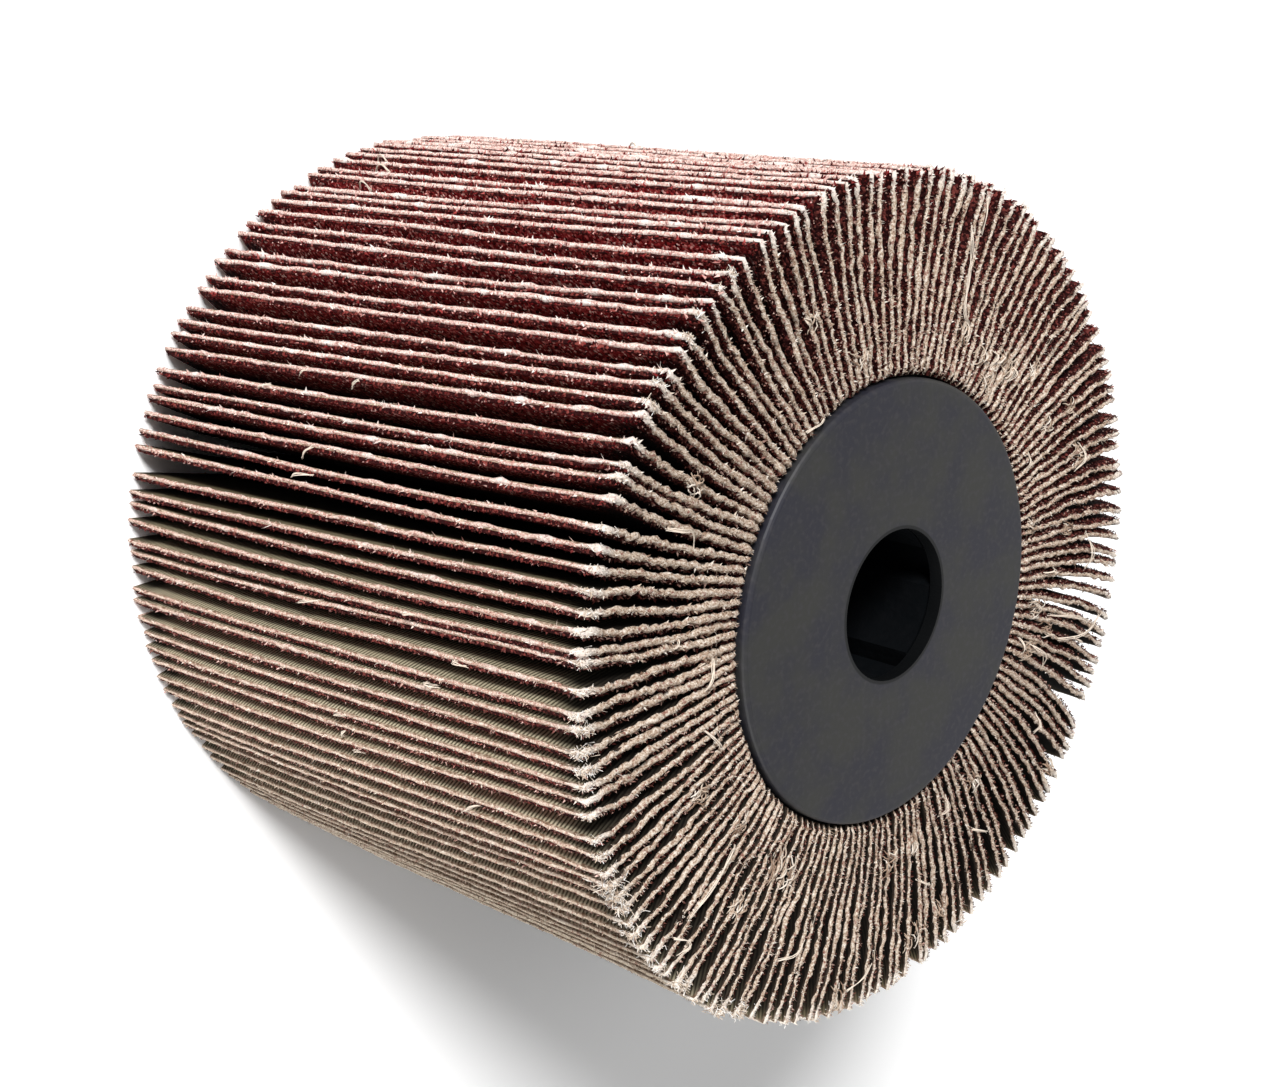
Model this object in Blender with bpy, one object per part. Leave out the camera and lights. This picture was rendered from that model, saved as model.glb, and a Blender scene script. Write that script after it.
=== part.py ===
"""Flap wheel: abrasive cloth flaps cast into a resin core between two side plates.

Metres, +Z along the wheel's axis. The wheel stands on its rear side plate, with
the front plate on top. The origin is on the axis, at the surface it stands on.
"""
import random
from math import cos, pi, radians, sin, tau

import bmesh
import bpy

MM = 0.001

# Driving dimensions of the flaps
WHEEL_RADIUS = 52.5 * MM
FLAP_WIDTH = 88.0 * MM
FLAP_THICKNESS = 0.95 * MM
FLAP_ROOT_GAP = 0.22 * MM
FLAP_TIP_WEAR = 0.5 * MM

# Driving dimensions of the side plates
PLATE_RADIUS = 27.7 * MM
PLATE_THICKNESS = 1.8 * MM
PLATE_PROUD = 0.4 * MM
PLATE_EDGE_ROUND = 0.7 * MM

# Driving dimensions of the bore and its core tube
BORE_RADIUS = 9.5 * MM
TUBE_WALL = 4.0 * MM
TUBE_EDGE_CHAMFER = 0.5 * MM
KEYWAY_COUNT = 4
KEYWAY_WIDTH = 5.6 * MM
KEYWAY_DEPTH = 2.2 * MM
KEYWAY_FIRST_ANGLE = radians(15)

# Clearance between pieces that seat on each other
SEAT_GAP = 0.3 * MM

# How the flaps lie. Sweep is their lean from the core to the rim, and twist is
# their lean from the front edge to the rear one. Both change round the wheel.
SWEEP_MEAN = radians(-1.6)
SWEEP_SWING = radians(2.3)
SWEEP_PEAK = radians(150)
SWEEP_BOW = radians(2.4)
TWIST_MEAN = radians(4.5)
TWIST_SWING = radians(4.0)
TWIST_PEAK = radians(253)
TWIST_BOW = radians(1.5)
WANDER_SHARE = 0.42
WANDER_SEED = 7

# Fineness of the round pieces
ROUND_SEGMENTS = 72
EDGE_STEPS = 4

# Places that follow from the sizes above
WHEEL_WIDTH = FLAP_WIDTH + 2 * PLATE_PROUD
FLAP_BOTTOM = PLATE_PROUD
FLAP_TOP = WHEEL_WIDTH - PLATE_PROUD
CORE_BOTTOM = PLATE_THICKNESS + SEAT_GAP
CORE_TOP = WHEEL_WIDTH - CORE_BOTTOM
CORE_RADIUS = PLATE_RADIUS + SEAT_GAP
TUBE_RADIUS = BORE_RADIUS + TUBE_WALL
FLAP_COUNT = int(tau * CORE_RADIUS / (FLAP_THICKNESS + FLAP_ROOT_GAP))
CUTTER_MARGIN = 1.0 * MM


def clear_scene():
    for old in list(bpy.data.objects):
        bpy.data.objects.remove(old, do_unlink=True)


def material(name, color, roughness, metallic):
    """A Principled material with the piece's plain colour and finish."""
    mat = bpy.data.materials.new(name)
    mat.use_nodes = True
    shader = mat.node_tree.nodes["Principled BSDF"]
    shader.inputs["Base Color"].default_value = (*color, 1.0)
    shader.inputs["Roughness"].default_value = roughness
    shader.inputs["Metallic"].default_value = metallic
    mat.diffuse_color = (*color, 1.0)
    return mat


def add_object(name, bm, mat=None, smooth=True):
    """Turn a bmesh into a named object, with its faces pointing outwards."""
    bmesh.ops.recalc_face_normals(bm, faces=bm.faces)
    mesh = bpy.data.meshes.new(name)
    bm.to_mesh(mesh)
    bm.free()
    if smooth:
        mesh.shade_smooth()
        mesh.set_sharp_from_angle(angle=radians(30))
    obj = bpy.data.objects.new(name, mesh)
    bpy.context.collection.objects.link(obj)
    if mat:
        mesh.materials.append(mat)
    return obj


def turned_ring(profile):
    """A closed ring whose section is the list of (radius, height) points."""
    bm = bmesh.new()
    rings = []
    for step in range(ROUND_SEGMENTS):
        angle = tau * step / ROUND_SEGMENTS
        rings.append([bm.verts.new((r * cos(angle), r * sin(angle), z)) for r, z in profile])
    for this, following in zip(rings, rings[1:] + rings[:1]):
        for k in range(len(profile)):
            after = (k + 1) % len(profile)
            bm.faces.new((this[k], following[k], following[after], this[after]))
    return bm


def flap_turn(index):
    """Place of a flap's root round the core, at the front edge."""
    return tau * index / FLAP_COUNT


def flap_wander():
    """How far each flap strays from an even spacing, at its front and its rear corner.

    A flap never strays by more than a share of the free gap at the rim, so that
    neighbours come close and stay apart. The third number shortens its tip.
    """
    rim_gap = tau / FLAP_COUNT - FLAP_THICKNESS / WHEEL_RADIUS
    rng = random.Random(WANDER_SEED)
    wanders = []
    for _ in range(FLAP_COUNT):
        front = WANDER_SHARE * rim_gap * rng.uniform(-1, 1)
        rear = WANDER_SHARE * rim_gap * rng.uniform(-1, 1)
        wanders.append((front, rear, FLAP_TIP_WEAR * rng.random() ** 2))
    return wanders


def flap_angle(turn, out, back, wander):
    """Angle of a flap's middle: out is 0 at the core and 1 at the rim, back is
    0 at the front edge and 1 at the rear one."""
    sweep = SWEEP_MEAN + SWEEP_SWING * cos(turn - SWEEP_PEAK)
    twist = TWIST_MEAN + TWIST_SWING * cos(turn - TWIST_PEAK)
    front, rear, _ = wander
    stray = front + (rear - front) * back
    leaned = turn + (sweep + stray) * out + twist * back
    return leaned + SWEEP_BOW * out * (1 - out) + TWIST_BOW * back * (1 - back)


def flap_corner(bm, turn, out, height, wander, side):
    """A point on one side of a flap. Side is -1 or 1, the way the angle grows."""
    back = (FLAP_TOP - height) / FLAP_WIDTH
    tip_radius = WHEEL_RADIUS - wander[2]
    radius = CORE_RADIUS + (tip_radius - CORE_RADIUS) * out
    angle = flap_angle(turn, out, back, wander)
    across = side * FLAP_THICKNESS / 2
    return bm.verts.new((
        radius * cos(angle) - across * sin(angle),
        radius * sin(angle) + across * cos(angle),
        height,
    ))


def flap_side(bm, turn, wander, side):
    """The points of one side of a flap: its root, its middle and its tip, top down."""
    middle = (FLAP_TOP + FLAP_BOTTOM) / 2
    root = [flap_corner(bm, turn, 0.0, z, wander, side)
            for z in (FLAP_TOP, CORE_TOP, CORE_BOTTOM, FLAP_BOTTOM)]
    waist = [flap_corner(bm, turn, 0.5, z, wander, side) for z in (FLAP_TOP, middle, FLAP_BOTTOM)]
    tip = [flap_corner(bm, turn, 1.0, z, wander, side) for z in (FLAP_TOP, middle, FLAP_BOTTOM)]
    return root, waist, tip


def flap_faces(bm, low, high):
    """Close one flap between its two sides. Its root stays open over the core's height."""
    for root, waist, tip in (low, high):
        bm.faces.new(root + waist[::-1])
        bm.faces.new(waist[:2] + tip[1::-1])
        bm.faces.new(waist[1:] + tip[:0:-1])
    (root_a, waist_a, tip_a), (root_b, waist_b, tip_b) = low, high
    for end in (0, -1):
        bm.faces.new((root_a[end], waist_a[end], waist_b[end], root_b[end]))
        bm.faces.new((waist_a[end], tip_a[end], tip_b[end], waist_b[end]))
    for k in (0, 1):
        bm.faces.new((tip_a[k], tip_a[k + 1], tip_b[k + 1], tip_b[k]))
    for k in (0, 2):
        bm.faces.new((root_a[k], root_a[k + 1], root_b[k + 1], root_b[k]))


def make_flap_pack(mat):
    """All flaps with the resin core that holds their inner ends, as one solid."""
    bm = bmesh.new()
    sides = []
    inner = []
    inner_radius = TUBE_RADIUS + SEAT_GAP
    for index, wander in enumerate(flap_wander()):
        turn = flap_turn(index)
        sides.append((flap_side(bm, turn, wander, -1), flap_side(bm, turn, wander, 1)))
        inner.append([bm.verts.new((inner_radius * cos(turn), inner_radius * sin(turn), z))
                      for z in (CORE_TOP, CORE_BOTTOM)])
    for index in range(FLAP_COUNT):
        after = (index + 1) % FLAP_COUNT
        low, high = sides[index]
        flap_faces(bm, low, high)
        root_low = low[0][1:3]
        root_high = high[0][1:3]
        root_next = sides[after][0][0][1:3]
        bm.faces.new((root_high[0], root_next[0], root_next[1], root_high[1]))
        bm.faces.new((inner[index][0], inner[after][0], inner[after][1], inner[index][1]))
        for end in (0, 1):
            bm.faces.new((inner[index][end], root_low[end], root_high[end]))
            bm.faces.new((inner[index][end], root_high[end], root_next[end], inner[after][end]))
    return add_object("flap_pack", bm, mat, smooth=False)


def plate_profile():
    """Section of a side plate with its rounded rim at the outer face, at height 0."""
    profile = [(BORE_RADIUS, 0.0)]
    for step in range(EDGE_STEPS + 1):
        angle = pi / 2 * step / EDGE_STEPS
        profile.append((
            PLATE_RADIUS - PLATE_EDGE_ROUND * (1 - sin(angle)),
            -PLATE_EDGE_ROUND * (1 - cos(angle)),
        ))
    return profile + [(PLATE_RADIUS, -PLATE_THICKNESS), (BORE_RADIUS, -PLATE_THICKNESS)]


def make_side_plate(name, outer_face, facing, mat):
    """A side plate with its outer face at a height, facing up (1) or down (-1)."""
    profile = [(radius, outer_face + facing * depth) for radius, depth in plate_profile()]
    return add_object(name, turned_ring(profile), mat)


def make_core_tube(mat):
    """The tube that the core is cast round, between the two side plates."""
    chamfer = TUBE_EDGE_CHAMFER
    profile = [
        (BORE_RADIUS, CORE_TOP),
        (TUBE_RADIUS - chamfer, CORE_TOP),
        (TUBE_RADIUS, CORE_TOP - chamfer),
        (TUBE_RADIUS, CORE_BOTTOM + chamfer),
        (TUBE_RADIUS - chamfer, CORE_BOTTOM),
        (BORE_RADIUS, CORE_BOTTOM),
    ]
    return add_object("keyed_core_tube", turned_ring(profile), mat)


def make_keyway_cutter():
    """One bar for each keyway, open to the rear and as deep as the core tube."""
    bm = bmesh.new()
    start = BORE_RADIUS / 2
    end = BORE_RADIUS + KEYWAY_DEPTH
    half = KEYWAY_WIDTH / 2
    bottom = -CUTTER_MARGIN
    top = CORE_TOP + SEAT_GAP / 2
    for index in range(KEYWAY_COUNT):
        angle = KEYWAY_FIRST_ANGLE + tau * index / KEYWAY_COUNT
        corners = []
        for out, across in ((start, -half), (end, -half), (end, half), (start, half)):
            x = out * cos(angle) - across * sin(angle)
            y = out * sin(angle) + across * cos(angle)
            corners.append((x, y))
        low = [bm.verts.new((x, y, bottom)) for x, y in corners]
        high = [bm.verts.new((x, y, top)) for x, y in corners]
        bm.faces.new(low)
        bm.faces.new(high)
        for k in range(4):
            bm.faces.new((low[k], low[(k + 1) % 4], high[(k + 1) % 4], high[k]))
    cutter = add_object("keyway_cutter", bm, smooth=False)
    cutter.hide_render = True
    cutter.display_type = "WIRE"
    return cutter


def cut_keyways(obj, cutter):
    cut = obj.modifiers.new("keyways", "BOOLEAN")
    cut.operation = "DIFFERENCE"
    cut.solver = "EXACT"
    cut.object = cutter


def main():
    clear_scene()
    cloth = material("abrasive_cloth", (0.30, 0.16, 0.13), 0.95, 0.0)
    lacquer = material("plate_lacquer", (0.055, 0.056, 0.063), 0.45, 0.3)
    resin = material("tube_resin", (0.020, 0.019, 0.019), 0.6, 0.0)

    make_flap_pack(cloth)
    make_side_plate("front_side_plate", WHEEL_WIDTH, 1, lacquer)
    rear_plate = make_side_plate("rear_side_plate", 0.0, -1, lacquer)
    core_tube = make_core_tube(resin)
    cutter = make_keyway_cutter()
    cut_keyways(rear_plate, cutter)
    cut_keyways(core_tube, cutter)


main()
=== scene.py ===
"""The looks of a flap wheel: frayed abrasive cloth flaps, a dark core and two lacquered plates.

Metres, +Z along the wheel's axis. The wheel stands on its rear plate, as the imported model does.
"""
import random
from math import cos, pi, radians, sin, tau

import bmesh
import bpy
from mathutils import Matrix, Vector


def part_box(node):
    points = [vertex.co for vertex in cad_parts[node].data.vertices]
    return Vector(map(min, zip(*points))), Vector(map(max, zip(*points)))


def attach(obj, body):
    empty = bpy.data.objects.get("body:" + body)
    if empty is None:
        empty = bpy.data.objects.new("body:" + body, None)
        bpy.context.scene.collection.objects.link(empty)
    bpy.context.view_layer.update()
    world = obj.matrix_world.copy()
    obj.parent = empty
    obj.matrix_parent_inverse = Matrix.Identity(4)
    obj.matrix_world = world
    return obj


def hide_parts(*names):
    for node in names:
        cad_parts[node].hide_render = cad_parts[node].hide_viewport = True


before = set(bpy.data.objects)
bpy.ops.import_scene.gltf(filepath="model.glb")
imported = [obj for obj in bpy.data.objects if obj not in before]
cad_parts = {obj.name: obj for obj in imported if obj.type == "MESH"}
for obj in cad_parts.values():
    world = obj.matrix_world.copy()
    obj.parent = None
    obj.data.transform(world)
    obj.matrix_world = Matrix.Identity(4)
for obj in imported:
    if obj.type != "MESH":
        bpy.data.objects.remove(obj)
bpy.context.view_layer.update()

MM = 0.001

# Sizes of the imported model: those that it was made to, and those read from it
WHEEL_RADIUS = 52.5 * MM
SEAT_GAP = 0.3 * MM
PACK_LOW, PACK_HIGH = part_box("flap_pack")
_, PLATE_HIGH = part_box("front_side_plate")
TUBE_LOW, TUBE_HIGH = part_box("keyed_core_tube")
CORE_RADIUS = PLATE_HIGH.x + SEAT_GAP
CORE_BORE = TUBE_HIGH.x + SEAT_GAP
CORE_TOP = TUBE_HIGH.z
CORE_BOTTOM = TUBE_LOW.z
FLAP_TOP = PACK_HIGH.z
FLAP_BOTTOM = PACK_LOW.z
FLAP_WIDTH = FLAP_TOP - FLAP_BOTTOM
FLAP_LENGTH = WHEEL_RADIUS - CORE_RADIUS

# One flap: a cloth backing with a coat of grain on its counter-clockwise side
FLAP_COUNT = 150
FLAP_THICKNESS = 0.95 * MM
CLOTH_THICKNESS = 0.5 * MM
FLAP_TIP_WEAR = 0.5 * MM

# How the flaps lie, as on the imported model: how they lean from core to rim (sweep) and from
# front to rear (twist), and how far each strays by itself
SWEEP_MEAN = radians(-1.6)
SWEEP_SWING = radians(2.3)
SWEEP_PEAK = radians(150)
SWEEP_BOW = radians(2.4)
TWIST_MEAN = radians(4.5)
TWIST_SWING = radians(4.0)
TWIST_PEAK = radians(253)
TWIST_BOW = radians(1.5)
WANDER_SHARE = 0.42
WANDER_SEED = 7

# How far they sway at the rim, in radians: over a wide stretch, in bunches of a few (less
# at the rear), and each one alone
SWAY_TOGETHER = 0.022
SWAY_BUNCHED = 0.038
SWAY_BUNCHED_LESS_AT_REAR = 0.014
SWAY_ALONE = 0.014

# Where they have parted, and how far from such a place they lean away, in radians
FRONT_PARTINGS = (radians(34), radians(333))
REAR_PARTING = radians(160)
PARTING_WIDTH = 0.055
PARTING_LEAN = 0.8

# The sides of the wheel that differ, as angles round it, and how many mm further out the
# rear of two of them stands
WORN_AND_LIT_SIDE = radians(205)
LONG_SIDE = radians(295)
LONG_REAR_SIDES = ((radians(235), 1.2), (radians(75), 0.55))
NARROW_SIDE = radians(258)
WOOLLY_SIDE = radians(162)
SUNNY_SIDE = radians(108)
CLIPPED_SIDE = radians(72)
LINT_SIDE = radians(90)
SHADED_SIDE = radians(160)

# The cut edges: radius of their frayed border, how far it jogs to the sides, and where the
# rim starts and ends on the way along them
EDGE_RADIUS = 0.24 * MM
EDGE_JOG = 0.85 * MM
RIM_START = FLAP_LENGTH
RIM_END = FLAP_LENGTH + FLAP_WIDTH
EDGE_PATH = RIM_END + FLAP_LENGTH
CLOTH_MIDDLE = (CLOTH_THICKNESS - FLAP_THICKNESS) / 2

# Nothing reaches lower than this
FLOOR_CLEARANCE = 0.05 * MM

# Pitch of the twill in mm, size of a grain crystal, and radius within which the plates are
# painted black as shade in their holes
TWILL_PITCH = 0.57
CRYSTAL = 0.32 * MM
HOLE_EDGE = 9.9 * MM

# How fast the noise changes from flap to flap, so that each has its own
OWN_NOISE = 40.0

# What hangs loose: tufts on the rims, and threads, with those on the far side of the wheel
RIM_TUFTS = 112
TUFT_SEED = 5
THREAD_STRANDS = 4
THREAD_RADIUS = 0.055 * MM
FAR_RIM_THREADS = 14
FAR_FRONT_THREADS = 8
THREAD_SEED = 9

# Camera, placed in wheel radii from the middle of the flaps' front edges
CAMERA_PLACE = Vector((-3.2456, 1.3725, 2.4427))
CAMERA_AZIMUTH = radians(156.89)
CAMERA_ELEVATION = radians(42.82)
CAMERA_ROLL = radians(104.66)
CAMERA_LENS = 51.46

# Light from all round, and lamps: azimuth and elevation in degrees, strength and softness
WORLD_LIGHT = 0.14
LAMPS = {
    "key_light": (122, 31, 1.34, 16),
    "high_light": (122, 58, 0.12, 22),
    "fill_light": (225, 6, 0.76, 50),
}

# The floor: half its width, its colour, and its brighter colour in the camera's eye
FLOOR_HALF = 3.0
FLOOR_COLOR = (0.8, 0.8, 0.8, 1.0)
FLOOR_SEEN = (1.25, 1.25, 1.25, 1.0)


# Node trees written as expressions

class Value:
    """A socket of a node. Arithmetic on it adds Math nodes to its tree."""

    def __init__(self, graph, socket):
        self.graph = graph
        self.socket = socket

    def math(self, operation, *others):
        inputs = dict(enumerate((self, *others)))
        return self.graph.node("ShaderNodeMath", {"operation": operation}, inputs)

    def __add__(self, other):
        return self.math("ADD", other)

    def __sub__(self, other):
        return self.math("SUBTRACT", other)

    def __mul__(self, other):
        return self.math("MULTIPLY", other)

    def __truediv__(self, other):
        return self.math("DIVIDE", other)

    def __rsub__(self, other):
        return self.graph.number(other).math("SUBTRACT", self)

    def __rtruediv__(self, other):
        return self.graph.number(other).math("DIVIDE", self)

    __radd__ = __add__
    __rmul__ = __mul__

    def __neg__(self):
        return self * -1.0

    def __pow__(self, power):
        return self.math("POWER", power)

    def cos(self):
        return self.math("COSINE")

    def sin(self):
        return self.math("SINE")

    def most(self, other):
        return self.math("MINIMUM", other)

    def least(self, other):
        return self.math("MAXIMUM", other)

    def between_0_and_1(self):
        return self.least(0.0).most(1.0)

    def ramp(self, start, end):
        """0 up to start, 1 from end on, and smooth between them."""
        inputs = {"Value": self, "From Min": start, "From Max": end}
        return self.graph.node("ShaderNodeMapRange", {"interpolation_type": "SMOOTHSTEP"}, inputs)

    def axes(self):
        """The three numbers of a vector."""
        first = self.graph.node("ShaderNodeSeparateXYZ", {}, {0: self})
        return [Value(self.graph, output) for output in first.socket.node.outputs]

    def vector(self, operation, other):
        settings = {"operation": operation}
        name = "Scale" if operation == "SCALE" else 1
        return self.graph.node("ShaderNodeVectorMath", settings, {0: self, name: other})


class Graph:
    """Adds nodes to one tree."""

    def __init__(self, tree):
        self.tree = tree

    def node(self, kind, settings=None, inputs=None, output=0):
        """Add a node: its settings first, then its sockets, by name or number."""
        made = self.tree.nodes.new(kind)
        for name, setting in (settings or {}).items():
            if name == "stops":
                self.set_stops(made.color_ramp.elements, setting)
            else:
                setattr(made, name, setting)
        for name, value in (inputs or {}).items():
            if isinstance(value, Value):
                self.tree.links.new(value.socket, made.inputs[name])
            else:
                made.inputs[name].default_value = value
        return None if output is None else Value(self, made.outputs[output])

    @staticmethod
    def set_stops(elements, stops):
        while len(elements) < len(stops):
            elements.new(1.0)
        for element, (place, color) in zip(elements, stops):
            element.position = place
            element.color = color

    def number(self, value):
        made = self.node("ShaderNodeValue")
        made.socket.default_value = value
        return made

    def join(self, x, y, z):
        return self.node("ShaderNodeCombineXYZ", {}, {0: x, 1: y, 2: z})

    def noise(self, where, scale, detail=2.0, roughness=0.5, output=0):
        inputs = {"Vector": where, "Scale": scale, "Detail": detail, "Roughness": roughness}
        return self.node("ShaderNodeTexNoise", {}, inputs, output)

    def mix(self, share, first, second, blend="MIX"):
        """Two colours mixed."""
        settings = {"data_type": "RGBA", "blend_type": blend}
        return self.node("ShaderNodeMix", settings, {0: share, 6: first, 7: second}, 2)

    def tint(self, share, stops):
        """A colour of a ramp with stops of (place, colour)."""
        return self.node("ShaderNodeValToRGB", {"stops": stops}, {0: share})


def rgba(*color):
    """A colour written as the eye sees it, 0 to 255, as the linear one that shaders take."""
    shares = [part / 255 for part in color]
    linear = [share / 12.92 if share <= 0.04045 else ((share + 0.055) / 1.055) ** 2.4
              for share in shares]
    return (*linear, 1.0)


def add_object(name, data):
    """A new object in the scene."""
    made = bpy.data.objects.new(name, data)
    bpy.context.collection.objects.link(made)
    return made


# Geometry trees for what repeats round the wheel

VECTOR = "FLOAT_VECTOR"


def geometry_tree(name, sizes):
    """A new tree that takes a geometry and the named sizes, and gives a geometry."""
    tree = bpy.data.node_groups.new(name, "GeometryNodeTree")
    tree.interface.new_socket("Geometry", in_out="INPUT", socket_type="NodeSocketGeometry")
    tree.interface.new_socket("Geometry", in_out="OUTPUT", socket_type="NodeSocketGeometry")
    for size, value in sizes.items():
        whole = isinstance(value, int)
        socket_type = "NodeSocketInt" if whole else "NodeSocketFloat"
        tree.interface.new_socket(size, in_out="INPUT", socket_type=socket_type)
    graph = Graph(tree)
    entry = tree.nodes.new("NodeGroupInput")
    inputs = {socket.name: Value(graph, socket) for socket in entry.outputs if socket.name}
    return graph, inputs


def grow(name, columns, sizes, geometry, material, *stands_for):
    """End a tree with real geometry that has its material, run it on the seed points that
    the columns list, and keep what it makes as a plain piece."""
    graph = geometry.graph
    real = graph.node("GeometryNodeRealizeInstances", {}, {0: geometry})
    dressed = graph.node("GeometryNodeSetMaterial", {}, {0: real, "Material": material})
    exit_node = graph.tree.nodes.new("NodeGroupOutput")
    graph.tree.links.new(dressed.socket, exit_node.inputs[0])
    carrier = add_object(name + "_seeds", seed_points(columns))
    modifier = carrier.modifiers.new("growth", "NODES")
    modifier.node_group = graph.tree
    for item in graph.tree.interface.items_tree:
        if item.in_out == "INPUT" and item.name in sizes:
            modifier[item.identifier] = sizes[item.name]
    depsgraph = bpy.context.evaluated_depsgraph_get()
    mesh = bpy.data.meshes.new_from_object(carrier.evaluated_get(depsgraph), depsgraph=depsgraph)
    bpy.data.objects.remove(carrier, do_unlink=True)
    mesh.name = name
    settle(add_object(name, mesh), "abrasive_cloth", *stands_for)


def settle(piece, slot, *stands_for):
    """Let a finished piece ride on the wheel and hide the imported parts that it stands for."""
    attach(piece, "root")
    if stands_for:
        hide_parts(*stands_for)


def read(graph, name, kind="FLOAT"):
    """An attribute of the points, by its name."""
    return graph.node("GeometryNodeInputNamedAttribute", {"data_type": kind}, {"Name": name})


def store(geometry, name, value, kind="FLOAT"):
    """The geometry with an attribute on its points."""
    inputs = {0: geometry, "Name": name, "Value": value}
    settings = {"data_type": kind, "domain": "POINT"}
    return geometry.graph.node("GeometryNodeStoreNamedAttribute", settings, inputs)


def chance(low, high, seed):
    """A random number between two others, fixed by its seed."""
    inputs = {2: low, 3: high, "Seed": seed}
    return seed.graph.node("FunctionNodeRandomValue", {"data_type": "FLOAT"}, inputs, 1)


def any_way(seed, lowest=(-1.0, -1.0, -1.0)):
    """A random vector whose numbers lie between the lowest ones and 1."""
    inputs = {0: lowest, 1: (1.0, 1.0, 1.0), "Seed": seed}
    return seed.graph.node("FunctionNodeRandomValue", {"data_type": VECTOR}, inputs)


def own_noise(graph, x, y, detail=2.0):
    """Noise over x and y that each flap has to itself."""
    own = read(graph, "turn") * OWN_NOISE
    return graph.noise(graph.join(own, x, y), 1.0, detail)


def several(inputs, amount):
    """Every seed point as many times as the tree's input of that name says."""
    seeds = inputs["Geometry"]
    return seeds.graph.node("GeometryNodeDuplicateElements", {"domain": "POINT"},
                            {0: seeds, "Amount": inputs[amount]})


def repeated(points, shape, **placing):
    """A real copy of a shape on every point."""
    inputs = {0: points, 2: shape, **placing}
    copies = points.graph.node("GeometryNodeInstanceOnPoints", {}, inputs)
    return points.graph.node("GeometryNodeRealizeInstances", {}, {0: copies})


def moved(geometry, where):
    return geometry.graph.node("GeometryNodeSetPosition", {}, {0: geometry, "Position": where})


def above_floor(x, y, z):
    """A place that doesn't reach through what the wheel stands on."""
    return z.graph.join(x, y, z.least(FLOOR_CLEARANCE))


def spike(inputs):
    """A three-sided spike of the tree's length and thickness."""
    depth = inputs["Length"]
    cone = {"Vertices": 3, "Side Segments": 1, "Radius Top": 0.0,
            "Radius Bottom": inputs["Thickness"], "Depth": depth}
    return depth.graph.node("GeometryNodeMeshCone", {}, cone)


def strands(inputs, points):
    """A line of joints on every point, each with its step: 0 to 1 along the line."""
    count = inputs["Joints"]
    line = count.graph.node("GeometryNodeMeshLine", {}, {"Count": count})
    step = count.graph.node("GeometryNodeInputIndex") / (count - 1.0)
    return repeated(points, store(line, "step", step))


def parting(turn, place):
    """How far flaps lean away from a gap among them, most at its two sides."""
    offset = (turn - place).sin()
    shares = offset / PARTING_WIDTH
    near = (turn - place).cos().ramp(0.5, 0.9)
    return offset * (shares * shares * -1.0).math("EXPONENT") * near


def lay(out, back, across):
    """Where a point of a flap lies, and its angle round the wheel. Out is 0 at the core and
    1 at the rim, back is 0 at the front edge and 1 at the rear one, and across is metres
    from the flap's middle, positive on the grain side."""
    graph = out.graph
    turn, short = read(graph, "turn"), read(graph, "short")
    front, rear = read(graph, "front"), read(graph, "rear")
    sweep = (turn - SWEEP_PEAK).cos() * SWEEP_SWING + SWEEP_MEAN
    twist = (turn - TWIST_PEAK).cos() * TWIST_SWING + TWIST_MEAN
    stray = front + (rear - front) * back
    angle = turn + (sweep + stray) * out + twist * back
    angle = angle + out * (1.0 - out) * SWEEP_BOW + back * (1.0 - back) * TWIST_BOW
    together = graph.noise(graph.join(turn * 3.0, out * 1.3, back * 0.7), 1.0) - 0.5
    alone = own_noise(graph, out * 2.2, back * 2.5) - 0.5
    bunch = graph.noise(graph.join(turn * 11.0, out * 0.6 + 9.0, back * 1.2), 1.0) - 0.5
    bunched = bunch * (SWAY_BUNCHED - back.ramp(0.0, 0.4) * SWAY_BUNCHED_LESS_AT_REAR)
    angle = angle + (together * SWAY_TOGETHER + bunched + alone * SWAY_ALONE) * out
    parted = parting(turn, FRONT_PARTINGS[0]) + parting(turn, FRONT_PARTINGS[1])
    parted = parted * (1.0 - back * 0.8) + parting(turn, REAR_PARTING) * back
    angle = angle + parted * out * PARTING_LEAN
    # The front edges are crumpled, dip in places and sink into a groove beside the plate
    near_front = 1.0 - back.ramp(0.0, 0.04)
    crumple = own_noise(graph, out * 3.5, 17.0) - 0.5
    crinkle = own_noise(graph, out * 22.0, 5.0) - 0.5
    shove = crumple * (out * 1.35 + 0.4) + crinkle * (out * 0.6 + 0.4)
    across = across + shove * near_front * MM
    sag = own_noise(graph, out * 3.0, 31.0).ramp(0.45, 0.8) * 0.6
    sag = sag * (1.0 - out.ramp(0.7, 0.95))
    groove = own_noise(graph, 0.0, 57.0)
    sink = sag + groove * (1.0 - out.ramp(0.0, 0.04)) + out.ramp(0.98, 1.0) * 0.1
    # Some sides are less worn and stand out a little further
    spare = (turn - LONG_SIDE).cos() * 0.45 + 0.4
    for side, reach in LONG_REAR_SIDES:
        share = ((turn - side).cos() * 0.5 + 0.5) ** 3.0
        spare = spare + share * back.ramp(0.1, 0.9) * reach
    radius = out * (FLAP_LENGTH - short + spare * MM) + CORE_RADIUS
    height = FLAP_TOP - back * FLAP_WIDTH - sink * near_front * MM
    x = radius * angle.cos() - across * angle.sin()
    y = radius * angle.sin() + across * angle.cos()
    return graph.join(x, y, height), angle


def flap_columns():
    """The place of each flap and its own irregularity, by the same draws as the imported
    model's, so each flap lies where its solid does."""
    rim_gap = tau / FLAP_COUNT - FLAP_THICKNESS / WHEEL_RADIUS
    rng = random.Random(WANDER_SEED)
    columns = {"turn": [], "front": [], "rear": [], "short": []}
    for index in range(FLAP_COUNT):
        columns["turn"].append(tau * index / FLAP_COUNT)
        columns["front"].append(WANDER_SHARE * rim_gap * rng.uniform(-1, 1))
        columns["rear"].append(WANDER_SHARE * rim_gap * rng.uniform(-1, 1))
        columns["short"].append(FLAP_TIP_WEAR * rng.random() ** 2)
    return columns


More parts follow.
